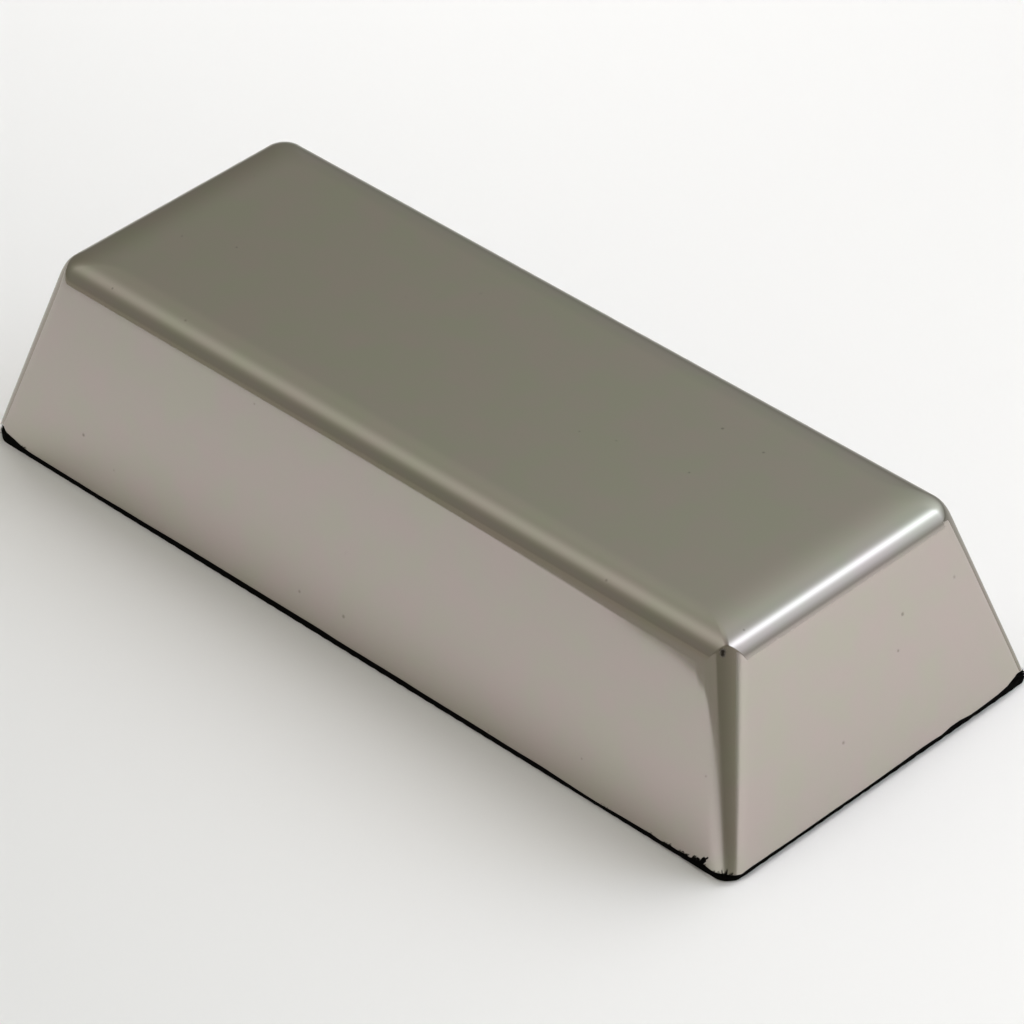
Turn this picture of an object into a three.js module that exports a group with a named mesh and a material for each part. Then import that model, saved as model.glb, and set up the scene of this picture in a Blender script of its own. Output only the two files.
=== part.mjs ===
// A polished metal ingot: one solid block with drafted walls, a rolled upper rim and rounded
// upright corners, standing on a thin felt pad that is glued under its foot.
//
// Millimetres, +Z up.  The origin is the middle of the footprint, on the surface that the
// ingot stands on.  The length runs along X and the width along Y.

import * as THREE from "three";

// ---- driving dimensions: the metal block -------------------------------------------------

const FOOT_LENGTH = 120.0; // along X, between the end faces at the foot
const FOOT_WIDTH = 49.6; // along Y, between the long faces at the foot
const INGOT_HEIGHT = 24.9; // from the foot of the metal to its top face
const END_DRAFT = 15.5; // degrees that the end faces lean in from upright
const SIDE_DRAFT = 14.7; // degrees that the long faces lean in from upright
const RIM_RADIUS = 3.7; // rolled edge between the walls and the top face
const CORNER_RADIUS = 3.4; // plan radius of the upright corners, from the foot to the rim

// ---- driving dimensions: the felt base pad -----------------------------------------------

const PAD_THICKNESS = 0.9;
const PAD_END_INSET = 0.4; // how far the pad stops short of each end face
const PAD_SIDE_INSET = 0.1; // how far it stops short of each long face
const PAD_CORNER_RADIUS = 2.0; // tighter than the metal's, so the pad's corners show

// ---- fineness of the curved faces --------------------------------------------------------

const CORNER_STEPS = 14; // facets round each upright corner
const RIM_STEPS = 12; // facets over the rolled rim
const SHARPEST_CORNER = 0.05; // least plan radius that a section keeps at its corners

// ---- outlines ----------------------------------------------------------------------------

/** The points of a rounded rectangle centred on the origin, anticlockwise from +X. */
function roundedRectangle(halfLength, halfWidth, radius) {
  const points = [];
  const corners = [[1, 1], [-1, 1], [-1, -1], [1, -1]];
  corners.forEach(([signX, signY], quarter) => {
    for (let step = 0; step <= CORNER_STEPS; step += 1) {
      const angle = (quarter + step / CORNER_STEPS) * (Math.PI / 2);
      points.push(new THREE.Vector2(
        signX * (halfLength - radius) + radius * Math.cos(angle),
        signY * (halfWidth - radius) + radius * Math.sin(angle),
      ));
    }
  });
  return points;
}

/** One pair of walls seen in section: a straight lean from the foot, then the rim's arc. */
class WallProfile {
  constructor(halfFoot, draftDegrees) {
    this.halfFoot = halfFoot;
    this.draft = THREE.MathUtils.degToRad(draftDegrees);
    this.arcHeight = INGOT_HEIGHT - RIM_RADIUS;
    this.rimStart = this.arcHeight + RIM_RADIUS * Math.sin(this.draft);
    // The arc's centre lies one radius inside the wall, measured square to the wall.
    this.arcReach = this.wallReach(this.arcHeight) - RIM_RADIUS / Math.cos(this.draft);
  }

  /** How far the leaning plane stands from the middle of the block at a height. */
  wallReach(height) {
    return this.halfFoot - height * Math.tan(this.draft);
  }

  /** How far the real surface stands from the middle at a height, rim included. */
  reach(height) {
    if (height <= this.rimStart) {
      return this.wallReach(height);
    }
    const rise = Math.min(height - this.arcHeight, RIM_RADIUS);
    return this.arcReach + Math.sqrt(RIM_RADIUS ** 2 - rise ** 2);
  }
}

// ---- solids ------------------------------------------------------------------------------

/** Joins sections of equal point count, from the lowest to the highest, into a closed solid. */
function loft(sections) {
  const count = sections[0].outline.length;
  const positions = [];
  for (const { outline, height } of sections) {
    for (const point of outline) {
      positions.push(point.x, point.y, height);
    }
  }
  const triangles = [];
  const top = (sections.length - 1) * count;
  for (const [a, b, c] of THREE.ShapeUtils.triangulateShape(sections[0].outline, [])) {
    triangles.push(a, c, b); // the foot, facing down
  }
  for (const [a, b, c] of THREE.ShapeUtils.triangulateShape(sections.at(-1).outline, [])) {
    triangles.push(top + a, top + b, top + c); // the top face, facing up
  }
  for (let level = 0; level < sections.length - 1; level += 1) {
    const below = level * count;
    const above = below + count;
    for (let i = 0; i < count; i += 1) {
      const next = (i + 1) % count;
      triangles.push(below + i, below + next, above + next);
      triangles.push(below + i, above + next, above + i);
    }
  }
  const geometry = new THREE.BufferGeometry();
  geometry.setAttribute("position", new THREE.Float32BufferAttribute(positions, 3));
  geometry.setIndex(triangles);
  geometry.computeVertexNormals();
  return geometry;
}

/** The metal block, from its foot at height 0 up through the rolled rim to the top face. */
function ingotGeometry() {
  const end = new WallProfile(FOOT_LENGTH / 2, END_DRAFT);
  const side = new WallProfile(FOOT_WIDTH / 2, SIDE_DRAFT);
  const shoulder = Math.min(end.rimStart, side.rimStart);
  const firstAngle = Math.min(end.draft, side.draft);
  const sections = [{
    outline: roundedRectangle(end.reach(0), side.reach(0), CORNER_RADIUS),
    height: 0,
  }];
  for (let step = 0; step <= RIM_STEPS; step += 1) {
    const angle = THREE.MathUtils.lerp(firstAngle, Math.PI / 2, step / RIM_STEPS);
    const height = INGOT_HEIGHT - RIM_RADIUS * (1 - Math.sin(angle));
    const drawnIn = side.reach(shoulder) - side.reach(height);
    const radius = Math.max(CORNER_RADIUS - drawnIn, SHARPEST_CORNER);
    sections.push({
      outline: roundedRectangle(end.reach(height), side.reach(height), radius),
      height,
    });
  }
  return loft(sections);
}

/** The felt pad: a sheet cut a little short of the metal's foot. */
function basePadGeometry() {
  const outline = roundedRectangle(
    FOOT_LENGTH / 2 - PAD_END_INSET,
    FOOT_WIDTH / 2 - PAD_SIDE_INSET,
    PAD_CORNER_RADIUS,
  );
  return new THREE.ExtrudeGeometry(new THREE.Shape(outline), {
    depth: PAD_THICKNESS,
    bevelEnabled: false,
  });
}

// ---- assembly ----------------------------------------------------------------------------

const polishedMetal = new THREE.MeshStandardMaterial({
  color: 0xb4aca2,
  metalness: 1.0,
  roughness: 0.12,
});
const blackFelt = new THREE.MeshStandardMaterial({
  color: 0x0b0a0a,
  metalness: 0.0,
  roughness: 1.0,
});

const basePad = new THREE.Mesh(basePadGeometry(), blackFelt);
basePad.name = "base_pad";

const ingot = new THREE.Mesh(ingotGeometry(), polishedMetal);
ingot.name = "ingot";
ingot.position.z = PAD_THICKNESS;

const group = new THREE.Group();
group.add(basePad, ingot);

export default group;
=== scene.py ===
"""A polished metal ingot on a thin black felt pad, with its floor, studio light and camera.

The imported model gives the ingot's box and its two solids.  This script puts a finished piece
in place of each: the metal block with its rolled rim, and the felt with its loose fibres.
Lengths are named in millimetres and turned into metres where a mesh is made.
"""

from __future__ import annotations

import logging
import math
from collections.abc import Callable, Mapping, Sequence
from dataclasses import dataclass, field
from enum import Enum
from typing import Union

import bpy
from mathutils import Matrix, Vector


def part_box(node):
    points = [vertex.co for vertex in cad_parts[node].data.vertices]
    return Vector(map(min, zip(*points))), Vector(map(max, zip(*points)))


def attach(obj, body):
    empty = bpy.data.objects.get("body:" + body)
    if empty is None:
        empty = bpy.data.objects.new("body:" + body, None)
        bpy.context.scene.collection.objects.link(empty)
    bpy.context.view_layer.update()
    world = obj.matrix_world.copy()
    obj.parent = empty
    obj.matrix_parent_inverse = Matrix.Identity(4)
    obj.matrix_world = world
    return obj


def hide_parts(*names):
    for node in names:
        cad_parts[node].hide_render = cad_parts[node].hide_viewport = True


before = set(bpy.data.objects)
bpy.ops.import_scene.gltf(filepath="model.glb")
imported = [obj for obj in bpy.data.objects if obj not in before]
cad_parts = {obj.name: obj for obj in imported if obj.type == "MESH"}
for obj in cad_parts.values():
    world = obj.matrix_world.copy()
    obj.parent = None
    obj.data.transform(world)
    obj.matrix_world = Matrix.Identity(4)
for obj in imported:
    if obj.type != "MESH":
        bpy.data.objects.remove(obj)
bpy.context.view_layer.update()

LOG = logging.getLogger("ingot")
MM = 0.001  # metres in a millimetre
WELD = 1e-6  # metres within which points become one

Colour = tuple[float, float, float]
Point = tuple[float, float, float]


# ---- node trees ----------------------------------------------------------------------------


def operator(
    operation: str, reflected: bool = False
) -> Callable[["Expression", "Operand"], "Expression"]:
    """Make one of the arithmetic operators of an expression.

    Args:
        operation: The Math node's operation.
        reflected: Whether the expression stands to the right of the sign.

    Returns:
        The operator's method.
    """

    def apply(self: "Expression", other: "Operand") -> "Expression":
        """Return the result of the operation on the two sides of the sign."""
        sides = (other, self) if reflected else (self, other)
        return self.graph.math(operation, *sides)

    return apply


class Expression:
    """A node's output that takes part in arithmetic: each operator adds a Math node."""

    def __init__(self, graph: "Graph", socket: bpy.types.NodeSocket) -> None:
        """Wrap a socket.

        Args:
            graph: The tree that new nodes go into.
            socket: The output that holds the value.
        """
        self.graph = graph
        self.socket = socket

    __add__ = operator("ADD")
    __radd__ = operator("ADD", reflected=True)
    __sub__ = operator("SUBTRACT")
    __rsub__ = operator("SUBTRACT", reflected=True)
    __mul__ = operator("MULTIPLY")
    __rmul__ = operator("MULTIPLY", reflected=True)
    __truediv__ = operator("DIVIDE")
    __rtruediv__ = operator("DIVIDE", reflected=True)
    __pow__ = operator("POWER")
    __mod__ = operator("FLOORED_MODULO")

    def apply(self, operation: str, *others: "Operand") -> "Expression":
        """Return the result of a named Math operation on self and others."""
        return self.graph.math(operation, self, *others)

    def clamped(self, low: float = 0.0, high: float = 1.0) -> "Expression":
        """Return self held between low and high."""
        return self.apply("MAXIMUM", low).apply("MINIMUM", high)


Operand = Union[Expression, float]
SocketValue = Union[Expression, bpy.types.NodeSocket, bpy.types.ID, float, int, bool, str, tuple]


class Graph:
    """Builds one node tree: a material's, the world's or a Geometry Nodes group's."""

    def __init__(self, tree: bpy.types.NodeTree) -> None:
        """Empty a tree and start on it.

        Args:
            tree: The tree to fill.
        """
        self.tree = tree
        self.tree.nodes.clear()

    def node(
        self,
        kind: str,
        settings: Mapping[str, object] | None = None,
        sockets: Mapping[int | str, SocketValue] | None = None,
    ) -> bpy.types.Node:
        """Add a node.

        Args:
            kind: The node's type.
            settings: Its settings; "stops" fills a colour ramp, "curve" a float curve.
            sockets: What goes into its inputs, by name or number: a link or a constant.

        Returns:
            The new node.
        """
        node = self.tree.nodes.new(kind)
        for name, value in (settings or {}).items():
            if name == "stops":
                self._fill_ramp(node.color_ramp, value)
            elif name == "curve":
                self._fill_curve(node.mapping, value)
            else:
                setattr(node, name, value)
        for key, value in (sockets or {}).items():
            self.feed(node.inputs[key], value)
        return node

    def feed(self, socket: bpy.types.NodeSocket, value: SocketValue) -> None:
        """Link a value to a socket, or set the socket to it.

        Args:
            socket: The input.
            value: An expression or an output to link, or a constant to set.
        """
        if isinstance(value, Expression):
            self.tree.links.new(value.socket, socket)
        elif isinstance(value, bpy.types.NodeSocket):
            self.tree.links.new(value, socket)
        else:
            socket.default_value = value

    def math(self, operation: str, *operands: Operand) -> Expression:
        """Add a Math node.

        Args:
            operation: The node's operation.
            operands: Its one to three operands.

        Returns:
            The result, ready for more arithmetic.
        """
        sockets = dict(enumerate(operands))
        node = self.node("ShaderNodeMath", {"operation": operation}, sockets)
        return Expression(self, node.outputs[0])

    def value(self, node: bpy.types.Node, output: int | str = 0) -> Expression:
        """Return a node's output as an expression."""
        return Expression(self, node.outputs[output])

    def parts(self, vector: bpy.types.NodeSocket) -> list[Expression]:
        """Return a vector's parts along X, Y and Z."""
        node = self.node("ShaderNodeSeparateXYZ", sockets={0: vector})
        return [self.value(node, axis) for axis in "XYZ"]

    def noise(self, place: bpy.types.NodeSocket, size: float, detail: float) -> Expression:
        """Add soft noise from 0 to 1.

        Args:
            place: Where the surface is, in metres.
            size: The size of its patches, in millimetres.
            detail: How much finer noise lies in it.

        Returns:
            The noise.
        """
        sockets = {"Vector": place, "Scale": 1.0 / (size * MM), "Detail": detail}
        return self.value(self.node("ShaderNodeTexNoise", sockets=sockets))

    @staticmethod
    def _fill_ramp(ramp: bpy.types.ColorRamp, stops: Sequence[tuple[float, Colour]]) -> None:
        """Give a colour ramp its stops.

        Args:
            ramp: The ramp, with the two stops that it starts with.
            stops: Each stop's position and colour.
        """
        while len(ramp.elements) < len(stops):
            ramp.elements.new(1.0)
        for element, (position, colour) in zip(ramp.elements, stops):
            element.position = position
            element.color = (*colour, 1.0)

    @staticmethod
    def _fill_curve(
        mapping: bpy.types.CurveMapping, points: Sequence[tuple[float, float]]
    ) -> None:
        """Give a float curve its points.

        Args:
            mapping: The curve's mapping, with its two starting points.
            points: Each point's position and value, both from 0 to 1.
        """
        curve = mapping.curves[0]
        while len(curve.points) < len(points):
            curve.points.new(1.0, 1.0)
        for point, location in zip(curve.points, points):
            point.location = location
            point.handle_type = "AUTO_CLAMPED"
        mapping.update()


class SurfaceGraph(Graph):
    """A material's tree, which ends in one shader."""

    def __init__(self, name: str) -> None:
        """Start an empty material.

        Args:
            name: The material's name.
        """
        self.material = bpy.data.materials.new(name)
        self.material.use_nodes = True
        super().__init__(self.material.node_tree)

    def place(self) -> bpy.types.NodeSocket:
        """Return where the surface is on its piece, in metres."""
        return self.node("ShaderNodeTexCoord").outputs["Object"]

    def finish(self, kind: str, sockets: Mapping[int | str, SocketValue]) -> bpy.types.Material:
        """End the tree in its shader.

        Args:
            kind: The shader's type.
            sockets: What goes into its inputs.

        Returns:
            The material.
        """
        shader = self.node(kind, sockets=sockets)
        self.node("ShaderNodeOutputMaterial", sockets={0: shader.outputs[0]})
        return self.material


class GeometryGroup(Graph):
    """A Geometry Nodes group with named inputs, run once on an object."""

    def __init__(self, name: str) -> None:
        """Start an empty group.

        Args:
            name: The group's name.
        """
        super().__init__(bpy.data.node_groups.new(name, "GeometryNodeTree"))
        self.values: dict[str, float | int] = {}
        for way in ("INPUT", "OUTPUT"):
            self.tree.interface.new_socket(
                "Geometry", in_out=way, socket_type="NodeSocketGeometry"
            )
        self.entry = self.node("NodeGroupInput")

    @property
    def geometry(self) -> bpy.types.NodeSocket:
        """The geometry that the object brings."""
        return self.entry.outputs[0]

    def number(self, name: str, value: float | int) -> Expression:
        """Add a named input.

        Args:
            name: The input's name.
            value: What the object's modifier sets it to.

        Returns:
            The input's value inside the group.
        """
        kind = "NodeSocketInt" if isinstance(value, int) else "NodeSocketFloat"
        socket = self.tree.interface.new_socket(name, in_out="INPUT", socket_type=kind)
        self.values[socket.identifier] = value
        return Expression(self, self.entry.outputs[name])

    def finish(self, geometry: bpy.types.NodeSocket, material: bpy.types.Material) -> None:
        """End the group in real geometry with one material.

        Args:
            geometry: What the group has made.
            material: The finish of all of it.
        """
        real = self.node("GeometryNodeRealizeInstances", sockets={0: geometry})
        dressed = self.node(
            "GeometryNodeSetMaterial", sockets={"Geometry": real.outputs[0], "Material": material}
        )
        self.node("NodeGroupOutput", sockets={0: dressed.outputs[0]})

    def bake(self, obj: bpy.types.Object) -> None:
        """Run the group on an object and keep the result as the object's plain mesh.

        Args:
            obj: The object, with the mesh that the group starts from.
        """
        modifier = obj.modifiers.new("shape", "NODES")
        modifier.node_group = self.tree
        for identifier, value in self.values.items():
            modifier[identifier] = value
        depsgraph = bpy.context.evaluated_depsgraph_get()
        made = bpy.data.meshes.new_from_object(obj.evaluated_get(depsgraph))
        obj.modifiers.remove(modifier)
        made.name = obj.name
        obj.data = made


def new_object(name: str, data: bpy.types.ID) -> bpy.types.Object:
    """Put an object at the origin of the scene.

    Args:
        name: The object's name.
        data: Its mesh, light or camera.

    Returns:
        The object.
    """
    obj = bpy.data.objects.new(name, data)
    bpy.context.scene.collection.objects.link(obj)
    return obj


def direction(azimuth: float, elevation: float) -> Vector:
    """Work out the way from the origin to a point seen from there.

    Args:
        azimuth: Where it stands round the Z axis, in degrees from +X.
        elevation: How high it stands, in degrees.

    Returns:
        A vector of unit length.
    """
    turn, rise = math.radians(azimuth), math.radians(elevation)
    level = math.cos(rise)
    return Vector((math.cos(turn) * level, math.sin(turn) * level, math.sin(rise)))


def mesh_from(
    name: str, points: Sequence[Point], faces: Sequence[Sequence[int]], smooth: bool = False
) -> bpy.types.Mesh:
    """Make a mesh from points in millimetres.

    Args:
        name: The mesh's name.
        points: Its points.
        faces: The points of each face, anticlockwise from outside.
        smooth: Whether the faces are shaded as one curved surface.

    Returns:
        The mesh.
    """
    mesh = bpy.data.meshes.new(name)
    mesh.from_pydata([(x * MM, y * MM, z * MM) for x, y, z in points], [], faces)
    mesh.polygons.foreach_set("use_smooth", [smooth] * len(mesh.polygons))
    mesh.update()
    return mesh


# ---- finishes ------------------------------------------------------------------------------


class Slot(Enum):
    """Material slot names for the two finishes."""

    METAL = "polished_metal"
    FELT = "black_felt"


@dataclass(frozen=True)
class DarkSpot:
    """One dark spot with a place of its own, in millimetres; the marks list pits and, at the near
    top corner, a painted dark reflection.
    """

    centre: Point
    radius: float
    depth: float


@dataclass(frozen=True)
class MirrorPolish:
    """Pale warm metal, buffed bright, with faint smears, small pits, a soft wave and a painted dark
    reflection at the near top corner.
    """

    tone: Colour = (0.485, 0.440, 0.400)
    green_tone: Colour = (0.474, 0.449, 0.389)
    rose_tone: Colour = (0.496, 0.434, 0.406)
    tone_spread: float = 0.16  # how far the mottle goes from its middle to full green or rose
    mottle_size: float = 5.5
    roughness: float = 0.065
    smear_roughness: float = 0.035
    smear_size: float = 16.0
    smear_threshold: float = 0.42
    smear_contrast: float = 2.4
    # the pits' colour, which also paints the dark reflection at the near top corner
    pit_and_reflection_tone: Colour = (0.05, 0.043, 0.036)
    pit_roughness: float = 0.3
    pit_spacing: float = 4.6
    pit_radius: float = 0.20
    pit_strength: float = 0.42
    mark_steepness: float = 1.6  # above 1, a marked spot has a flat bottom
    wave_size: float = 13.0
    wave_height: float = 0.0035
    marks: tuple[DarkSpot, ...] = (
        # The first two paint a dark reflection at the near top corner's apex; the others are pits.
        DarkSpot((52.20, -17.88, 24.45), 0.44, 1.0), DarkSpot((52.27, -17.95, 24.15), 0.40, 1.0),
        DarkSpot((55.54, 7.36, 16.95), 0.30, 0.40), DarkSpot((56.55, 5.65, 13.37), 0.24, 0.36),
        DarkSpot((58.15, -4.91, 7.55), 0.28, 0.34), DarkSpot((55.48, 15.98, 17.20), 0.28, 0.24),
        DarkSpot((-44.64, -23.24, 6.87), 0.28, 0.42), DarkSpot((-0.51, -23.94, 4.19), 0.30, 0.36),
        DarkSpot((-7.63, -23.99, 3.98), 0.26, 0.30), DarkSpot((26.1, 10.03, 25.8), 0.26, 0.34),
        DarkSpot((32.45, 9.88, 25.8), 0.24, 0.30),
    )

    def material(self) -> bpy.types.Material:
        """Build the finish.

        Returns:
            The material.
        """
        graph = SurfaceGraph("mirror_polish")
        place = graph.place()

        mottle = graph.noise(place, self.mottle_size, detail=3.0)
        low, high = 0.5 - self.tone_spread, 0.5 + self.tone_spread
        colour = graph.node(
            "ShaderNodeValToRGB",
            {"stops": [(low, self.green_tone), (0.5, self.tone), (high, self.rose_tone)]},
            {0: mottle},
        )
        dark_spots = self._dark_spots(graph, place)
        # The pits and the painted dark reflection at the near top corner take the pit colour.
        spotted = graph.node(
            "ShaderNodeMix",
            {"data_type": "RGBA"},
            {0: dark_spots, 6: colour.outputs[0], 7: (*self.pit_and_reflection_tone, 1.0)},
        )
        smears = graph.noise(place, self.smear_size, detail=4.0) - self.smear_threshold
        smears = (smears * self.smear_contrast).clamped() * self.smear_roughness
        roughness = self.roughness + smears + dark_spots * self.pit_roughness
        wave = graph.noise(place, self.wave_size, detail=1.0)
        bump = graph.node(
            "ShaderNodeBump",
            sockets={"Strength": 1.0, "Distance": self.wave_height * MM, "Height": wave},
        )
        return graph.finish(
            "ShaderNodeBsdfPrincipled",
            {
                "Base Color": spotted.outputs[2],
                "Metallic": 1.0,
                "Roughness": roughness,
                "Normal": bump.outputs[0],
            },
        )

    def _dark_spots(self, graph: Graph, place: bpy.types.NodeSocket) -> Expression:
        """Return how dark the polish is spotted, from 0 to 1: its pits, and a painted dark
        reflection at the near top corner.

        Args:
            graph: The material's tree.
            place: Where the surface is, in metres.

        Returns:
            The scattered pits and the marked spots together.
        """
        cells = graph.node(
            "ShaderNodeTexVoronoi",
            {"voronoi_dimensions": "3D", "feature": "F1"},
            {"Vector": place, "Scale": 1.0 / (self.pit_spacing * MM)},
        )
        reach = self.pit_radius / self.pit_spacing
        dark_spots = (1.0 - graph.value(cells, "Distance") / reach).clamped() * self.pit_strength
        # The marked spots: pits, and the painted dark reflection at the near top corner.
        for mark in self.marks:
            centre = tuple(axis * MM for axis in mark.centre)
            away = graph.node(
                "ShaderNodeVectorMath", {"operation": "DISTANCE"}, {0: place, 1: centre}
            )
            steepness = self.mark_steepness
            fall = graph.value(away, "Value") * (steepness / (mark.radius * MM))
            dip = (steepness - fall).clamped()
            dark_spots = dark_spots.apply("MAXIMUM", dip * mark.depth)
        return dark_spots


@dataclass(frozen=True)
class BlackFelt:
    """Pressed black wool: no shine, with short matted fibres."""

    tone: Colour = (0.0012, 0.0011, 0.0010)
    worn_tone: Colour = (0.0045, 0.0040, 0.0036)
    worn_between: tuple[float, float] = (0.35, 0.75)  # the noise from felt to worn felt
    fibre_size: float = 0.16
    fibre_height: float = 0.05
    specular: float = 0.04
    sheen: float = 0.006

    def material(self) -> bpy.types.Material:
        """Build the finish.

        Returns:
            The material.
        """
        graph = SurfaceGraph("black_felt")
        fibres = graph.noise(graph.place(), self.fibre_size, detail=4.0)
        stops = list(zip(self.worn_between, (self.tone, self.worn_tone)))
        colour = graph.node("ShaderNodeValToRGB", {"stops": stops}, {0: fibres})
        bump = graph.node(
            "ShaderNodeBump", sockets={"Distance": self.fibre_height * MM, "Height": fibres}
        )
        return graph.finish(
            "ShaderNodeBsdfPrincipled",
            {
                "Base Color": colour.outputs[0],
                "Roughness": 1.0,
                "Specular IOR Level": self.specular,
                "Sheen Weight": self.sheen,
                "Normal": bump.outputs[0],
            },
        )


# ---- the foot line -------------------------------------------------------------------------


@dataclass(frozen=True)
class FootLine:
    """Where the metal's foot really runs: the hand-finished edge is not quite level.

    Each table gives how far the edge stands above the pad's nominal top, in millimetres,
    by the place along that side.
    """

    along: tuple[tuple[float, float], ...] = (
        (-60.0, 0.30), (-59.7, 0.80), (-59.4, 1.25), (-59.1, 1.46), (-58.8, 1.49),
        (-58.4, 1.38), (-58.0, 1.10), (-57.5, 0.76), (-57.1, 0.60), (-56.6, 0.48),
        (-56.0, 0.44), (-55.5, 0.38), (-55.0, 0.28),
        (-53.5, 0.02), (-50.0, 0.00), (-45.0, -0.01), (-41.0, -0.04), (-37.0, 0.02),
        (-33.0, 0.03), (-28.0, 0.10), (-21.0, 0.14), (-12.0, 0.14), (-4.0, 0.16), (0.0, 0.08),
        (8.0, 0.11), (14.0, 0.05), (21.0, 0.05), (27.0, 0.00), (31.0, 0.02), (34.0, -0.06),
        (37.0, -0.14), (40.0, -0.19), (43.0, -0.10), (46.0, -0.05), (48.9, -0.02),
        (50.0, -0.16), (51.0, 0.00), (52.0, -0.12), (53.0, 0.12), (54.0, -0.04), (55.0, 0.20),
        (56.2, 0.12), (57.1, 0.00), (57.7, -0.08), (58.1, -0.05), (58.6, -0.05), (60.0, -0.06),
    )
    across: tuple[tuple[float, float], ...] = (
        (-24.8, -0.28), (-23.8, -0.28), (-22.9, -0.22), (-22.5, -0.05), (-21.9, 0.12),
        (-21.4, 0.17), (-20.0, 0.15), (-19.0, 0.15), (-15.0, 0.10), (-10.5, 0.12),
        (-7.0, 0.13), (-4.0, 0.11), (0.0, 0.15), (3.0, 0.19), (6.0, 0.25), (8.0, 0.24),
        (9.0, 0.14), (10.0, 0.20), (11.5, 0.38), (12.5, 0.38), (14.0, 0.17), (16.0, 0.19),
        (18.0, 0.26), (19.0, 0.30), (20.0, 0.42), (21.0, 0.52), (21.6, 0.62), (22.2, 0.84),
        (22.6, 1.06), (23.0, 1.14), (23.4, 1.12), (23.7, 1.05), (24.0, 0.98), (24.3, 0.85),
        (24.8, 0.60),
    )
    swing: float = 1.6  # the tables' values lie between -swing and swing

    def curve(self, table: Sequence[tuple[float, float]]) -> list[tuple[float, float]]:
        """Turn a table into the points of a float curve.

        Args:
            table: The places and their lifts.

        Returns:
            The points, with both axes from 0 to 1.
        """
        half = table[-1][0]
        return [
            ((place / half + 1.0) / 2.0, (lift / self.swing + 1.0) / 2.0)
            for place, lift in table
        ]

    @staticmethod
    def lift(table: Sequence[tuple[float, float]], place: float) -> float:
        """Read a table between its points.

        Args:
            table: The places and their lifts.
            place: Where along the side.

        Returns:
            The lift there.
        """
        for (low, start), (high, end) in zip(table, table[1:]):
            if place <= high:
                share = max(place - low, 0.0) / (high - low)
                return start + (end - start) * share
        return table[-1][1]


# ---- the metal block -----------------------------------------------------------------------


@dataclass(frozen=True)
class DraftedWall:
    """One pair of walls in section: a straight lean, then a roll-over into the top face."""

    half_foot: float  # from the middle to the wall at the foot
    draft: float  # degrees that the wall leans in
    roll_in: float  # how far the roll-over runs in over the top face
    roll_down: float  # how far it runs down the wall
    top_fullness: float  # how long it stays close to the top face
    wall_fullness: float  # how long it stays close to the wall


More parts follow.
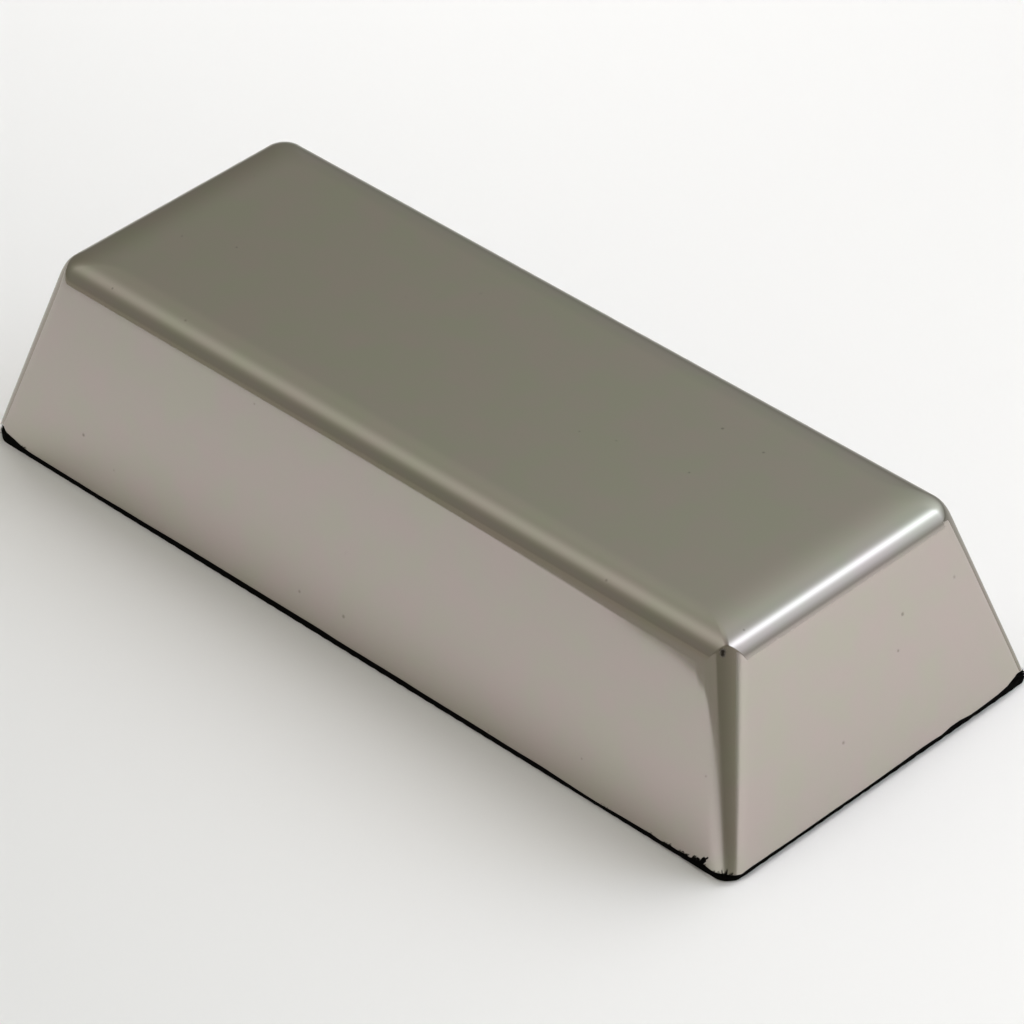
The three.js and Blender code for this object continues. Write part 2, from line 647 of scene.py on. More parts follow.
@dataclass
class PolishedBlock:
    """The ingot's metal: one block, its shape ruled by two wall sections and a corner."""

    pad_top: float
    top: float
    end: DraftedWall
    side: DraftedWall
    foot_line: FootLine
    corner_radius: float = 3.05
    corner_flare: tuple[float, float] = (0.35, 0.65)  # its loss at the foot, at -X and at +X
    corner_pinch: float = 1.4  # how fast a corner tightens as the rim rolls in
    crown_radius: float = 2.2  # the tightest that it gets
    crown_ease: float = 0.05  # how gently its radius settles there, in square millimetres
    near_corner_radius: float = 3.4  # of the +X -Y corner's upright edge, which the rims cut
    near_crease_radius: float = 0.5  # where they cut it, and where they meet
    foot_softness: float = 0.16
    flat_margin: float = 0.015  # share of the top kept as a border, so it shades flat
    rebate: float = 0.06  # share of the underside that rises to the uneven foot line
    end_steps: int = 14
    corner_steps: int = 22
    side_steps: int = 40
    rim_steps: int = 36
    wall_steps: int = 14
    wall_crowding: float = 2.5  # above 1, the wall's rows crowd towards the foot
    foot_steps: int = 4
    finish: MirrorPolish = field(default_factory=MirrorPolish)

    def build(self) -> bpy.types.Object:
        """Make the block and dress it.

        Returns:
            The finished piece.
        """
        obj = new_object("polished_block", bpy.data.meshes.new("polished_block"))
        group = GeometryGroup("block_shape")
        top = group.number("Top height", self.top)
        foot = group.number("Foot height", self.pad_top)
        softness = group.number("Foot softness", self.foot_softness)
        end = self._wall_inputs(group, "End", self.end)
        side = self._wall_inputs(group, "Side", self.side)

        flat = 2  # rows on the top face and as many underneath: the border's, and the rest
        rows = flat + self.rim_steps + self.wall_steps + self.foot_steps + flat
        quarter = self.end_steps + self.corner_steps + self.side_steps
        columns = 4 * quarter
        grid = group.node(
            "GeometryNodeMeshGrid",
            sockets={
                "Size X": 1.0,
                "Size Y": 1.0,
                "Vertices X": rows + 1,
                "Vertices Y": columns + 1,
            },
        )
        down, around, _ = group.parts(group.node("GeometryNodeInputPosition").outputs[0])
        row = (down + 0.5) * float(rows)
        column = (around + 0.5) * float(columns)

        # Round the block: each quarter runs from an end's middle, round a corner, to a side's.
        nudge = 0.0001  # keeps a quarter's first column out of the one before
        quadrant = (column / float(quarter) + nudge).apply("FLOOR")
        within = column - quadrant * float(quarter)
        odd = quadrant % 2.0
        within = within + odd * (float(quarter) - 2.0 * within)
        sign_x = (((quadrant + 0.5) % 4.0 - 2.0).apply("ABSOLUTE") - 1.0).apply("SIGN")
        sign_y = (1.5 - quadrant % 4.0).apply("SIGN")
        up_end = (within / float(self.end_steps)).clamped()
        turn = ((within - float(self.end_steps)) / float(self.corner_steps)).clamped()
        angle = turn * (math.pi / 2.0)
        past = float(self.end_steps + self.corner_steps)
        on_side = 1.0 - ((within - past) / float(self.side_steps)).clamped()
        toward_end = angle.apply("COSINE")
        toward_side = angle.apply("SINE")

        # Down the block: the top face, the rolled rim, the wall, the foot's edge, underneath.
        border = self.flat_margin
        rim = ((row - float(flat)) / float(self.rim_steps)).clamped()
        past = float(flat + self.rim_steps)
        wall = 1.0 - (1.0 - ((row - past) / float(self.wall_steps)).clamped()) ** self.wall_crowding
        past += self.wall_steps
        edge = ((row - past) / float(self.foot_steps)).clamped()
        past += self.foot_steps
        spread = row.clamped() * (1.0 - border) + (row - 1.0).clamped() * border
        spread = spread - (row - past).clamped() * self.rebate
        spread = spread - (row - past - 1.0).clamped() * (1.0 - self.rebate)

        # Each row is one level: both walls stand at the same height in it.  "near" is 1 in the
        # quarter with the near corner, at +X and -Y, and 0 in the others.
        near = (1.0 + sign_x) * (1.0 - sign_y) * 0.25
        slack, loose = self.corner_flare
        flare = ((slack + loose) * 0.5 + sign_x * ((loose - slack) * 0.5)) * (1.0 - near)
        corner = group.number("Corner radius", self.corner_radius)
        near_corner = group.number("Near corner radius", self.near_corner_radius)
        foot_corner = corner + (near_corner - corner) * near - flare
        foot_x = on_side * (end["half"] - foot_corner) + toward_end * foot_corner
        foot_y = up_end * (side["half"] - foot_corner) + toward_side * foot_corner
        lift = self._lift(
            group, sign_x * foot_x / end["half"], sign_y * foot_y / side["half"], toward_end
        )
        lift = lift * (1.0 - (row - past).clamped())
        rolled = self._rolled(side, rim)
        rim_drop = side["down"] * side["cosine"] * rolled
        edge_drop = top - foot - lift - softness
        drop = rim_drop + (edge_drop - rim_drop) * wall
        drop = drop + softness * (1.0 - (1.0 - edge) ** 2.0)
        share = (rim_drop / (end["down"] * end["cosine"])).clamped()
        tuck = softness * edge ** 2.0
        end_reach, end_inset = self._reach(end, top - foot, self._unrolled(end, share), drop)
        side_reach, side_inset = self._reach(side, top - foot, rim, drop)
        crown = group.number("Crown radius", self.crown_radius)
        pinch = group.number("Corner pinch", self.corner_pinch)
        spare = corner - flare * wall - crown - pinch * (end_inset + side_inset) * 0.5
        radius = crown + (spare + (spare * spare + self.crown_ease).apply("SQRT")) * 0.5
        crease = group.number("Near crease radius", self.near_crease_radius)
        end_cut, side_cut = self._cut_corner(near_corner - crease, end_inset, side_inset, angle)
        radius = radius + (crease - radius) * near
        x = on_side * (end_reach - tuck - radius - end_cut * near) + radius * toward_end
        y = up_end * (side_reach - tuck - radius - side_cut * near) + radius * toward_side
        z = top - drop

        place = group.node(
            "ShaderNodeCombineXYZ",
            sockets={0: sign_x * x * spread * MM, 1: sign_y * y * spread * MM, 2: z * MM},
        )
        shaped = group.node(
            "GeometryNodeSetPosition",
            sockets={"Geometry": grid.outputs["Mesh"], "Position": place.outputs[0]},
        )
        welded = group.node(
            "GeometryNodeMergeByDistance", sockets={0: shaped.outputs[0], "Distance": WELD}
        )
        smooth = group.node("GeometryNodeSetShadeSmooth", sockets={0: welded.outputs[0]})
        group.finish(smooth.outputs[0], self.finish.material())
        group.bake(obj)
        return obj

    @staticmethod
    def _cut_corner(
        spine: Expression, end_inset: Expression, side_inset: Expression, angle: Expression
    ) -> tuple[Expression, Expression]:
        """Round an upright edge that the rolled rims cut off, instead of blending with them.

        Args:
            spine: The upright edge's radius, less that of the creases where the rims cut it.
            end_inset: How far the end's rim has drawn in at this level.
            side_inset: How far the side's rim has.
            angle: The way the surface faces, from the end's to the side's.

        Returns:
            How far the rounding's middle is drawn in from the end and from the side.
        """
        end_left, side_left = spine - end_inset, spine - side_inset
        from_end = (end_left / spine).clamped().apply("ARCCOSINE")
        from_side = (side_left / spine).clamped().apply("ARCSINE")
        facing = angle.apply("MAXIMUM", from_end).apply("MINIMUM", from_side)
        end_cut = (end_left - spine * facing.apply("COSINE")).apply("MAXIMUM", 0.0)
        side_cut = (side_left - spine * facing.apply("SINE")).apply("MAXIMUM", 0.0)
        return end_cut, side_cut

    @staticmethod
    def _wall_inputs(group: GeometryGroup, name: str, wall: DraftedWall) -> dict[str, Expression]:
        """Add a wall's sizes to the group.

        Args:
            group: The block's group.
            name: What the wall is called.
            wall: Its sizes.

        Returns:
            The inputs by a short key, and the wall's sine, cosine and tangent.
        """
        draft = group.number(f"{name} draft", wall.draft).apply("RADIANS")
        return {
            "half": group.number(f"{name} half foot", wall.half_foot),
            "in": group.number(f"{name} roll in", wall.roll_in),
            "down": group.number(f"{name} roll down", wall.roll_down),
            "top": group.number(f"{name} top fullness", wall.top_fullness),
            "wall": group.number(f"{name} wall fullness", wall.wall_fullness),
            "sine": draft.apply("SINE"),
            "cosine": draft.apply("COSINE"),
            "tangent": draft.apply("TANGENT"),
        }

    @staticmethod
    def _rolled(wall: Mapping[str, Expression], rim: Expression) -> Expression:
        """Return what share of the roll-over's fall lies above a place on the rim."""
        return (1.0 - wall["wall"]) * (1.0 - rim) * rim * rim * 3.0 + rim ** 3.0

    @staticmethod
    def _unrolled(wall: Mapping[str, Expression], share: Expression) -> Expression:
        """Find the place on the rim that has a given share of the fall above it.

        Args:
            wall: The wall's inputs.
            share: The share, from 0 to 1.

        Returns:
            The place, from 0 on the top face to 1 on the wall.
        """
        square = (1.0 - wall["wall"]) * 3.0
        cube = 1.0 - square
        first_guess, passes, least_slope = 0.45, 5, 0.001
        rim = share ** first_guess
        for _ in range(passes):
            miss = (square + cube * rim) * rim * rim - share
            slope = ((2.0 * square + 3.0 * cube * rim) * rim).apply("MAXIMUM", least_slope)
            rim = (rim - miss / slope).clamped()
        return rim

    @staticmethod
    def _reach(
        wall: Mapping[str, Expression], height: Expression, rim: Expression, drop: Expression
    ) -> tuple[Expression, Expression]:
        """Work out how far a wall stands from the block's middle at one level.

        Args:
            wall: The wall's inputs.
            height: The block's nominal height.
            rim: The place on the rim, from 0 on the top face to 1 on the wall.
            drop: How far the level lies below the top face.

        Returns:
            The distance, and how far the rim has drawn the wall in from its leaning plane.
        """
        back = 1.0 - rim
        inset = wall["in"] * (back + (1.0 - wall["top"]) * rim * 3.0) * back * back
        return wall["half"] + (drop - height) * wall["tangent"] - inset, inset

    def _lift(
        self,
        group: GeometryGroup,
        along: Expression,
        across: Expression,
        toward_end: Expression,
    ) -> Expression:
        """Work out how far the foot's edge stands above its nominal height.

        Args:
            group: The block's group.
            along: The place along the block, from -1 to 1.
            across: The place across it, from -1 to 1.
            toward_end: The cosine of the turn round a corner, 1 at an end.

        Returns:
            The lift in millimetres.
        """
        line = self.foot_line
        lifts = []
        for table, place in ((line.along, along), (line.across, across)):
            curve = group.node(
                "ShaderNodeFloatCurve", {"curve": line.curve(table)}, {"Value": (place + 1.0) * 0.5}
            )
            lifts.append((group.value(curve) * 2.0 - 1.0) * line.swing)
        on_side, on_end = lifts
        return on_side + toward_end ** 2.0 * (on_end - on_side)


# ---- the felt pad --------------------------------------------------------------------------


@dataclass
class FeltPad:
    """The pad under the ingot: one sheet, a little short of the metal's foot."""

    thickness: float
    half_length: float
    half_width: float
    foot_line: FootLine
    corner_radii: tuple[float, float, float, float] = (1.2, 2.0, 2.4, 2.1)
    corner_steps: int = 8
    corner_reach: float = 3.4  # how far from a corner the end's foot line takes over
    corner_ease: float = 0.9  # share of the rise to the metal that a corner goes without
    edge_step: float = 0.5
    edge_levels: tuple[tuple[float, float], ...] = (
        (0.0, 0.0), (0.12, 0.03), (0.5, 0.05), (0.88, 0.03), (1.0, -0.025),
    )  # up the cut edge: the share of its height, and how far it stands out
    raggedness: float = 0.05
    short_wave: float = 1.7  # how fast the ragged edge goes in and out, from step to step
    long_wave: float = 0.37
    wave_lean: float = 9.0  # how much that changes up the edge
    rebate: float = 0.06  # share of the pad's faces that lies outside their middle panel
    finish: BlackFelt = field(default_factory=BlackFelt)

    def outline(self) -> list[tuple[float, float]]:
        """Draw the sheet's outline in small even steps.

        Returns:
            Its points in millimetres, anticlockwise.
        """
        points: list[tuple[float, float]] = []
        corners = [(1, 1, 0), (-1, 1, 90), (-1, -1, 180), (1, -1, 270)]
        for (sign_x, sign_y, first), radius in zip(corners, self.corner_radii):
            centre_x = sign_x * (self.half_length - radius)
            centre_y = sign_y * (self.half_width - radius)
            for step in range(self.corner_steps + 1):
                angle = math.radians(first + step * 90.0 / self.corner_steps)
                points.append(
                    (centre_x + radius * math.cos(angle), centre_y + radius * math.sin(angle))
                )
        fine: list[tuple[float, float]] = []
        for start, end in zip(points, points[1:] + points[:1]):
            cuts = max(1, round(math.dist(start, end) / self.edge_step))
            for cut in range(cuts):
                share = cut / cuts
                fine.append(tuple(a + (b - a) * share for a, b in zip(start, end)))
        return fine

    def lift(self, x: float, y: float) -> float:
        """Work out how far the pad's edge rises to meet the metal's foot.

        Args:
            x: The place along the pad, in millimetres.
            y: The place across it.

        Returns:
            The rise in millimetres.
        """
        line = self.foot_line
        past_x = max(abs(x) - self.half_length + self.corner_reach, 0.0)
        past_y = max(abs(y) - self.half_width + self.corner_reach, 0.0)
        end_share = past_x ** 2 / max(past_x ** 2 + past_y ** 2, 1e-9)
        on_side, on_end = line.lift(line.along, x), line.lift(line.across, y)
        eased = 1.0 - 4.0 * self.corner_ease * end_share * (1.0 - end_share)
        return (on_side + end_share * (on_end - on_side)) * eased

    def build(self) -> bpy.types.Object:
        """Make the pad and dress it.

        Returns:
            The finished piece.
        """
        outline = self.outline()
        count = len(outline)
        inner = 1.0 - self.rebate
        points: list[Point] = [(x * inner, y * inner, 0.0) for x, y in outline]
        for share, bulge in self.edge_levels:
            for index, (x, y) in enumerate(outline):
                wave = math.sin(index * self.short_wave + share * self.wave_lean)
                ragged = self.raggedness * wave * math.sin(index * self.long_wave)
                out = 1.0 + (bulge + ragged) / math.hypot(x, y)
                height = (self.thickness + self.lift(x, y)) * share
                points.append((x * out, y * out, height))
        points.extend((x * inner, y * inner, self.thickness) for x, y in outline)
        last = len(points) - count
        faces: list[tuple[int, ...]] = [tuple(reversed(range(count)))]
        for low in range(0, last, count):
            for index in range(count):
                after = low + (index + 1) % count
                faces.append((low + index, after, after + count, low + index + count))
        faces.append(tuple(range(last, len(points))))
        obj = new_object("felt_pad", mesh_from("felt_pad", points, faces))
        obj.data.materials.append(self.finish.material())
        return obj


@dataclass
class FeltFibres:
    """Loose fibres along the pad's cut edge, longer where the cut left a tuft."""

    pad: FeltPad
    count: int = 6400
    length: float = 0.30
    thickness: float = 0.042
    outward: tuple[float, float] = (0.15, 0.7)  # how far a fibre leans out, at least and at most
    sideways: tuple[float, float] = (-0.7, 0.7)
    upward: tuple[float, float] = (-0.25, 0.75)
    length_share: tuple[float, float] = (0.35, 1.0)
    bend: tuple[Point, Point, Point, Point] = (
        (0.0, 0.0, 0.0), (0.0, 0.15, 0.35), (0.1, 0.3, 0.7), (0.3, 0.25, 1.0),
    )  # a fibre of unit length: its root, its two handles and its tip
    bend_steps: int = 3
    sides: int = 3
    root_height: float = 0.85  # share of the pad's edge below the roots
    tuft_gain: float = 1.5
    tuft_narrowing: float = 1.5
    tuft_rise: float = 0.8
    tuft_drop: float = 0.3
    tuft_reach: float = 0.5
    tuft_offset: float = 0.34
    tufts: tuple[tuple[float, float, float], ...] = (
        (-54.3, -24.6, 0.9), (41.0, -24.6, 0.5), (47.9, -24.6, 0.7), (50.6, -24.6, 1.0),
        (52.6, -24.6, 0.8), (53.4, -24.6, 0.9), (54.6, -24.6, 2.0), (55.4, -24.6, 3.4),
        (57.95, -24.45, 1.3), (58.45, -24.2, 1.6), (58.85, -23.9, 1.3), (59.5, 12.2, 0.7),
        (59.4, 24.2, 0.5),
    )
    seed: int = 7

    def build(self) -> bpy.types.Object:
        """Make the fibres and dress them.

        Returns:
            The finished piece.
        """
        obj = new_object("felt_fibres", self._edge())
        group = GeometryGroup("felt_fibre_fringe")
        count = group.number("Fibre count", self.count)
        length = group.number("Fibre length", self.length * MM)
        thickness = group.number("Fibre thickness", self.thickness * MM)
        gain = group.number("Tuft gain", self.tuft_gain)
        tuft = group.value(self._named(group, "tuft", "FLOAT"))
        side = self._named(group, "outward", "FLOAT_VECTOR").outputs[0]
        out_x, out_y, _ = group.parts(side)
        edge = group.node("GeometryNodeMeshToCurve", sockets={0: group.geometry})
        spots = group.node(
            "GeometryNodeCurveToPoints",
            {"mode": "COUNT"},
            {"Curve": edge.outputs[0], "Count": count},
        )
        out = self._random(group, self.outward, 0) / (1.0 + self.tuft_narrowing * tuft)
        along = self._random(group, self.sideways, 1)
        up = self._random(group, self.upward, 2) + self.tuft_rise * tuft
        toward = group.node(
            "ShaderNodeCombineXYZ",
            sockets={0: out_x * out - out_y * along, 1: out_y * out + out_x * along, 2: up},
        )
        aim = group.node(
            "FunctionNodeAlignRotationToVector", {"axis": "Z"}, {"Vector": toward.outputs[0]}
        )
        size = self._random(group, self.length_share, 3)
        placed = group.node(
            "GeometryNodeInstanceOnPoints",
            sockets={
                "Points": spots.outputs["Points"],
                "Instance": self._fibre(group, thickness),
                "Rotation": aim.outputs[0],
                "Scale": length * size * (1.0 + gain * tuft),
            },
        )
        group.finish(placed.outputs[0], self.pad.finish.material())
        group.bake(obj)
        return obj

    def _edge(self) -> bpy.types.Mesh:
        """Draw the line that the fibres grow from, along the pad's edge.

        Returns:
            A loop of edges, whose points know their tuft and their outward side.
        """
        outline = self.pad.outline()
        pulls = [
            max(
                strength * math.exp(-((math.dist(spot, (x, y)) / self.tuft_reach) ** 2))
                for x, y, strength in self.tufts
            )
            for spot in outline
        ]
        outwards = []
        for before, after in zip(outline[-1:] + outline[:-1], outline[1:] + outline[:1]):
            run = math.dist(before, after)
            outwards.append(((after[1] - before[1]) / run, (before[0] - after[0]) / run, 0.0))
        points = []
        for (x, y), pull, (out_x, out_y, _) in zip(outline, pulls, outwards):
            full = min(pull, 1.0)
            step = self.tuft_offset * full
            share = self.root_height - self.tuft_drop * full
            height = (self.pad.thickness + self.pad.lift(x, y)) * share
            points.append(((x + out_x * step) * MM, (y + out_y * step) * MM, height * MM))
        mesh = bpy.data.meshes.new("felt_edge")
        edges = [(index, (index + 1) % len(points)) for index in range(len(points))]
        mesh.from_pydata(points, edges, [])
        marks = mesh.attributes.new("tuft", "FLOAT", "POINT")
        marks.data.foreach_set("value", pulls)
        sides = mesh.attributes.new("outward", "FLOAT_VECTOR", "POINT")
        sides.data.foreach_set("vector", [axis for side in outwards for axis in side])
        return mesh

    @staticmethod
    def _named(group: GeometryGroup, name: str, kind: str) -> bpy.types.Node:
        """Return a node that reads one of the edge's attributes."""
        return group.node("GeometryNodeInputNamedAttribute", {"data_type": kind}, {"Name": name})

    def _fibre(self, group: GeometryGroup, thickness: Expression) -> bpy.types.NodeSocket:
        """Make one bent fibre of unit length.

        Args:
            group: The fringe's group.
            thickness: The fibre's thickness in metres, before it is scaled to its length.

        Returns:
            The fibre's mesh.
        """
        sockets = dict(zip(("Start", "Start Handle", "End Handle", "End"), self.bend))
        spine = group.node(
            "GeometryNodeCurvePrimitiveBezierSegment",
            sockets={"Resolution": self.bend_steps, **sockets},
        )
        profile = group.node(
            "GeometryNodeCurvePrimitiveCircle",
            {"mode": "RADIUS"},
            {"Resolution": self.sides, "Radius": thickness * (0.5 / (self.length * MM))},
        )
        tube = group.node(
            "GeometryNodeCurveToMesh",
            sockets={
                "Curve": spine.outputs[0],
                "Profile Curve": profile.outputs[0],
                "Fill Caps": True,
            },
        )
        return tube.outputs[0]

    def _random(
        self, group: GeometryGroup, between: tuple[float, float], salt: int
    ) -> Expression:
        """Return random numbers with a fixed seed.

        Args:
            group: The fringe's group.
            between: The least value and the greatest.
            salt: What tells this use of the seed from the others.

        Returns:
            The numbers.
        """
        node = group.node("FunctionNodeRandomValue", {"data_type": "FLOAT"})
        inputs = [socket for socket in node.inputs if socket.enabled]
        group.feed(inputs[0], between[0])
        group.feed(inputs[1], between[1])
        group.feed(node.inputs["Seed"], self.seed + salt)
        return Expression(group, next(socket for socket in node.outputs if socket.enabled))


# ---- floor, light and camera ---------------------------------------------------------------


@dataclass(frozen=True)
class Glow:
    """A soft bright patch of the studio, seen from the ingot."""

    toward: Point
    tightness: float
    colour: Colour


@dataclass(frozen=True)
class Lamp:
    """A soft round lamp: angles in degrees, lengths in millimetres."""

    azimuth: float
    elevation: float
    distance: float
    aim: Point
    size: float
    spread: float
    power: float

    def build(self, name: str) -> None:
        """Hang the lamp; the room's glows stand for it in the metal.

        Args:
            name: What it is called.
        """
        light = bpy.data.lights.new(name, "AREA")
        light.shape = "DISK"
        light.size = self.size * MM
        light.energy = self.power
        light.spread = math.radians(self.spread)
        toward = direction(self.azimuth, self.elevation)
        place = (Vector(self.aim) + toward * self.distance) * MM
        turn = toward.to_track_quat("Z", "Y").to_matrix().to_4x4()
        lamp = new_object(name, light)
        lamp.matrix_world = Matrix.Translation(place) @ turn
        lamp.visible_glossy = False


@dataclass(frozen=True)
class ReflectionSheet:
    """A sheet on the floor, hidden from the camera, that glows only in the metal: a painted
    reflection.

    Its tone runs along one axis, through colours that each have a place in millimetres.
    """

    outline: tuple[tuple[float, float], ...]
    axis: str
    tones: tuple[tuple[float, Colour], ...]
    height: float

    def build(self, name: str) -> None:
        """Lay the sheet of painted reflection.

        Args:
            name: What it is called.
        """
        points = [(x, y, self.height) for x, y in self.outline]
        glossy_sheet = new_object(name, mesh_from(name, points, [tuple(range(len(points)))]))
        graph = SurfaceGraph(name)
        along = graph.parts(graph.place())["XYZ".index(self.axis)]
        start, length = self.tones[0][0], self.tones[-1][0] - self.tones[0][0]
        tone = graph.node(
            "ShaderNodeValToRGB",
            {"stops": [((at - start) / length, colour) for at, colour in self.tones]},
            {0: (along / MM - start) / length},
        )
        # Painted reflection: the sheet glows in its tone, and only glossy rays see it.
        made = graph.finish("ShaderNodeEmission", {"Color": tone.outputs[0], "Strength": 1.0})
        glossy_sheet.data.materials.append(made)
        glossy_sheet.visible_camera = False
        glossy_sheet.visible_diffuse = False
        glossy_sheet.visible_shadow = False
        glossy_sheet.visible_transmission = False


@dataclass(frozen=True)
class Studio:
    """A pale floor in a dim warm room, with soft light from the right and behind."""

    floor_colour: Colour = (0.888, 0.866, 0.882)
    floor_half: float = 4000.0
    room: tuple[tuple[float, Colour], ...] = (
        (0.0, (0.215, 0.212, 0.165)),
        (0.2, (0.230, 0.229, 0.190)),
        (0.35, (0.228, 0.227, 0.177)),
        (0.5, (0.215, 0.216, 0.159)),
        (0.65, (0.216, 0.211, 0.154)),
        (0.8, (0.152, 0.157, 0.100)),
        (1.0, (0.150, 0.120, 0.090)),
    )
    glows: tuple[Glow, ...] = (
        Glow((0.386, 0.628, 0.676), 34.7, (1.548, 1.730, 1.997)),
        Glow((0.646, 0.683, 0.342), 14.0, (0.687, 0.754, 0.884)),
        Glow((0.049, 0.826, 0.562), 8.0, (0.750, 0.837, 0.892)),
        Glow((-0.368, -0.260, 0.893), 7.7, (0.584, 0.601, 0.574)),
        Glow((-0.391, 0.428, 0.815), 30.3, (0.211, 0.237, 0.201)),
        Glow((1.0, 0.0, 0.0), 4.0, (0.140, 0.135, 0.120)),
        Glow((-0.600, -0.800, 0.000), 35.0, (0.052, 0.048, 0.048)),
    )
    lamps: tuple[Lamp, ...] = (
        Lamp(117.0, 52.6, 429.2, (246.2, -14.3, 0.0), 410.0, 80.7, 0.360),
        Lamp(31.6, 41.1, 1400.0, (0.0, 0.0, 0.0), 1290.0, 180.0, 0.598),
        Lamp(60.2, 73.1, 517.2, (-176.6, 142.3, 0.0), 300.0, 49.5, 0.192),
        Lamp(-40.6, 73.2, 1022.5, (456.4, -60.3, 0.0), 400.0, 65.2, 0.220),
        Lamp(-120.0, 65.0, 900.0, (-40.0, -60.0, 0.0), 300.0, 40.0, 0.038),
    )
    # The sheets paint the metal's reflections: dark in front of the block, dimming behind it, pale
    # off to the right.
    reflection_sheets: tuple[ReflectionSheet, ...] = (
        ReflectionSheet(
            outline=(
                (-3900.0, -3900.0), (2000.0, -3900.0), (400.0, -900.0), (240.0, -600.0),
                (155.0, -420.0), (105.0, -325.0), (66.0, -240.0), (42.0, -182.0),
                (29.0, -145.0), (19.2, -117.7), (15.3, -101.6), (12.3, -85.3), (11.3, -84.1),
                (11.0, -83.8), (10.3, -83.4), (9.5, -83.5), (8.7, -83.65), (8.2, -83.75),
                (5.5, -84.9), (3.0, -86.0), (0.4, -86.8), (-4.8, -87.6), (-10.0, -89.6),
                (-18.0, -94.5), (-38.0, -110.0), (-80.0, -140.0), (-110.0, -158.0),
                (-300.0, -176.0), (-3900.0, -300.0),
            ),
            axis="X",
            tones=((-100.0, (0.340, 0.330, 0.270)), (-10.0, (0.370, 0.360, 0.315))),
            height=0.05,
        ),
        ReflectionSheet(
            outline=(
                (-62.0, -25.0), (-62.0, 27.0), (61.0, 27.0), (64.0, 70.0), (90.0, 130.0),
                (160.0, 200.0), (3900.0, 3900.0), (-3900.0, 3900.0), (-3900.0, -60.0),
                (-120.0, -40.0),
            ),
            axis="Y",
            tones=(
                (50.0, (0.550, 0.545, 0.505)), (85.0, (0.515, 0.525, 0.500)),
                (145.0, (0.425, 0.435, 0.410)), (400.0, (0.300, 0.310, 0.290)),
                (800.0, (0.265, 0.280, 0.265)),
            ),
            height=0.10,
        ),
        ReflectionSheet(
            outline=((150.0, 50.0), (3900.0, 1000.0), (3900.0, 3900.0), (158.0, 129.0)),
            axis="X",
            tones=(
                (150.0, (0.850, 0.850, 0.840)), (309.0, (0.520, 0.525, 0.515)),
                (600.0, (0.500, 0.510, 0.500)),
            ),
            height=0.15,
        ),
    )

    def build(self) -> None:
        """Make the floor, the room's light, the lamps and the sheets of painted reflection."""
        self._floor()
        self._room()
        for number, lamp in enumerate(self.lamps, 1):
            lamp.build(f"soft_lamp_{number}")
        for number, glossy_sheet in enumerate(self.reflection_sheets, 1):
            glossy_sheet.build(f"painted_reflection_{number}")

    def _floor(self) -> None:
        """Lay the floor that the ingot stands on."""
        half = self.floor_half
        corners = [(-half, -half, 0.0), (half, -half, 0.0), (half, half, 0.0), (-half, half, 0.0)]
        floor = new_object("floor", mesh_from("floor", corners, [(0, 1, 2, 3)]))
        colour = (*self.floor_colour, 1.0)
        made = SurfaceGraph("floor_paper").finish(
            "ShaderNodeBsdfPrincipled",
            {"Base Color": colour, "Roughness": 1.0, "Specular IOR Level": 0.0},
        )
        floor.data.materials.append(made)

    def _room(self) -> None:
        """Light the room: a ramp from the horizon up, and the glows over it."""
        world = bpy.data.worlds.new("studio")
        world.use_nodes = True
        graph = Graph(world.node_tree)
        toward = graph.node("ShaderNodeTexCoord").outputs["Generated"]
        _, _, height = graph.parts(toward)
        total = graph.node("ShaderNodeValToRGB", {"stops": self.room}, {0: height}).outputs[0]
        for glow in self.glows:
            facing = graph.node(
                "ShaderNodeVectorMath", {"operation": "DOT_PRODUCT"}, {0: toward, 1: glow.toward}
            )
            fall = ((graph.value(facing, "Value") - 1.0) * glow.tightness).apply("EXPONENT")
            total = graph.node(
                "ShaderNodeVectorMath",
                {"operation": "MULTIPLY_ADD"},
                {0: fall, 1: glow.colour, 2: total},
            ).outputs[0]
        background = graph.node("ShaderNodeBackground", sockets={0: total, "Strength": 1.0})
        graph.node("ShaderNodeOutputWorld", sockets={0: background.outputs[0]})
        bpy.context.scene.world = world


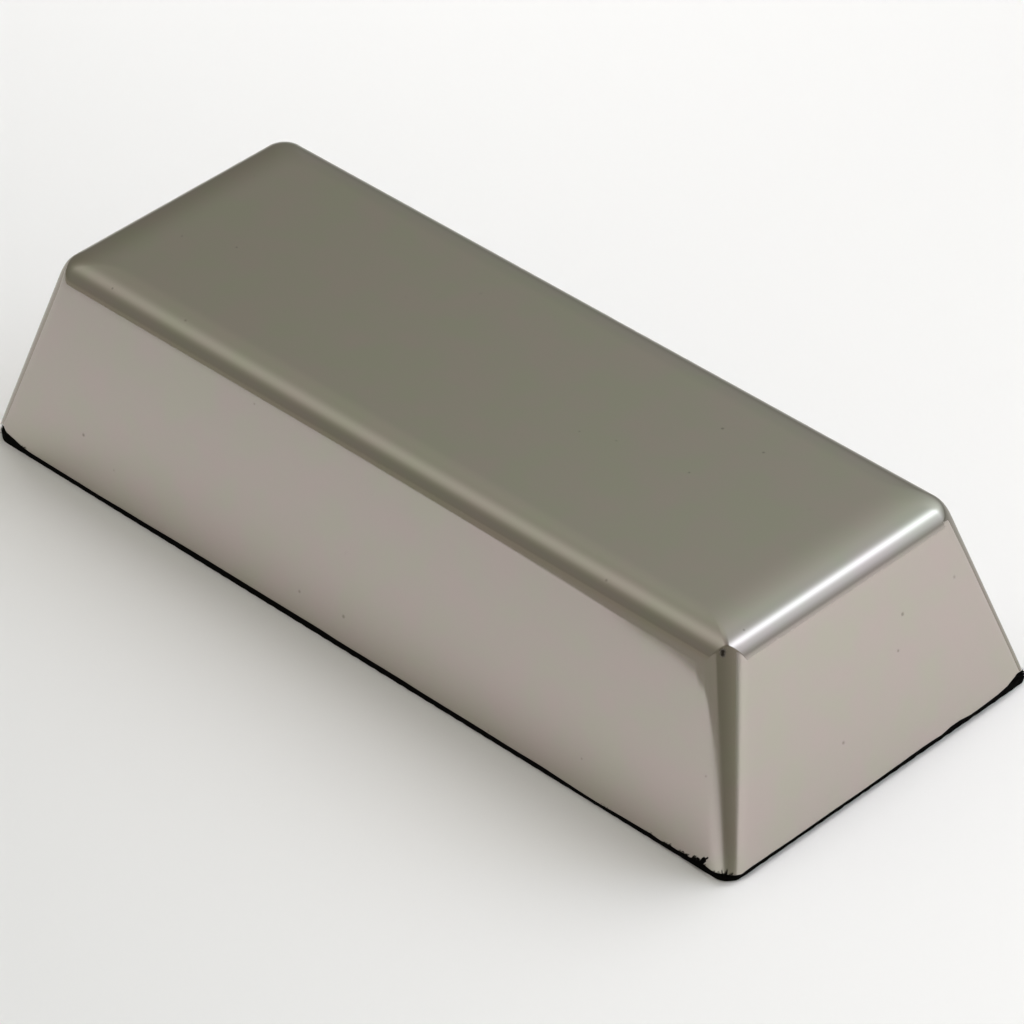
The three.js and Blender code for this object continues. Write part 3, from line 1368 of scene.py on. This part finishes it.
@dataclass(frozen=True)
class CameraStand:
    """Where the camera stands: angles in degrees, lengths in millimetres."""

    azimuth: float = -44.7309
    elevation: float = 37.2005
    roll: float = -1.1415
    distance: float = 718.8203
    target: Point = (-4.2957, 6.8974, 0.0)
    lens: float = 217.164
    sensor: float = 36.0
    nearest: float = 10.0
    farthest: float = 50000.0

    def build(self) -> None:
        """Make the scene's camera."""
        back = direction(self.azimuth, self.elevation)
        level = Vector((0.0, 0.0, 1.0)).cross(back).normalized()
        upright = back.cross(level)
        cosine, sine = math.cos(math.radians(self.roll)), math.sin(math.radians(self.roll))
        right = level * cosine + upright * sine
        up = upright * cosine - level * sine
        place = (Vector(self.target) + back * self.distance) * MM
        data = bpy.data.cameras.new("camera")
        data.sensor_fit = "HORIZONTAL"
        data.sensor_width = self.sensor
        data.lens = self.lens
        data.clip_start = self.nearest * MM
        data.clip_end = self.farthest * MM
        camera = new_object("camera", data)
        turn = Matrix((right, up, back)).transposed().to_4x4()
        camera.matrix_world = Matrix.Translation(place) @ turn
        bpy.context.scene.camera = camera


# ---- assembly ------------------------------------------------------------------------------


def report_piece(obj: bpy.types.Object) -> None:
    """Log a piece's name and how many faces it has."""
    LOG.info("%s: %d faces", obj.name, len(obj.data.polygons))


def main() -> None:
    """Build the scene: the camera, the block, the pad and its fibres, the studio."""
    logging.basicConfig(level=logging.INFO, format="%(name)s: %(message)s", force=True)
    bpy.context.scene.view_settings.view_transform = "Standard"
    CameraStand().build()

    _, block_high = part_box("ingot")
    _, pad_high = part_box("base_pad")
    pad_top = pad_high.z / MM
    foot_line = FootLine()
    block = PolishedBlock(
        pad_top=pad_top,
        top=block_high.z / MM,
        end=DraftedWall(
            half_foot=block_high.x / MM,
            draft=15.5,
            roll_in=6.5,
            roll_down=3.6,
            top_fullness=0.91,
            wall_fullness=0.85,
        ),
        side=DraftedWall(
            half_foot=block_high.y / MM,
            draft=14.7,
            roll_in=3.9,
            roll_down=3.6,
            top_fullness=0.85,
            wall_fullness=0.67,
        ),
        foot_line=foot_line,
    )
    metal = block.build()
    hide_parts("ingot")
    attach(metal, "root")
    report_piece(metal)

    trim = 0.11  # millimetres that the felt is cut short by, all round
    pad = FeltPad(
        thickness=pad_top,
        half_length=pad_high.x / MM - trim,
        half_width=pad_high.y / MM - trim,
        foot_line=foot_line,
    )
    sheet = pad.build()
    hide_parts("base_pad")
    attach(sheet, "root")
    report_piece(sheet)

    fibres = FeltFibres(pad).build()
    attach(fibres, "root")
    report_piece(fibres)

    Studio().build()


if __name__ == "__main__":
    main()
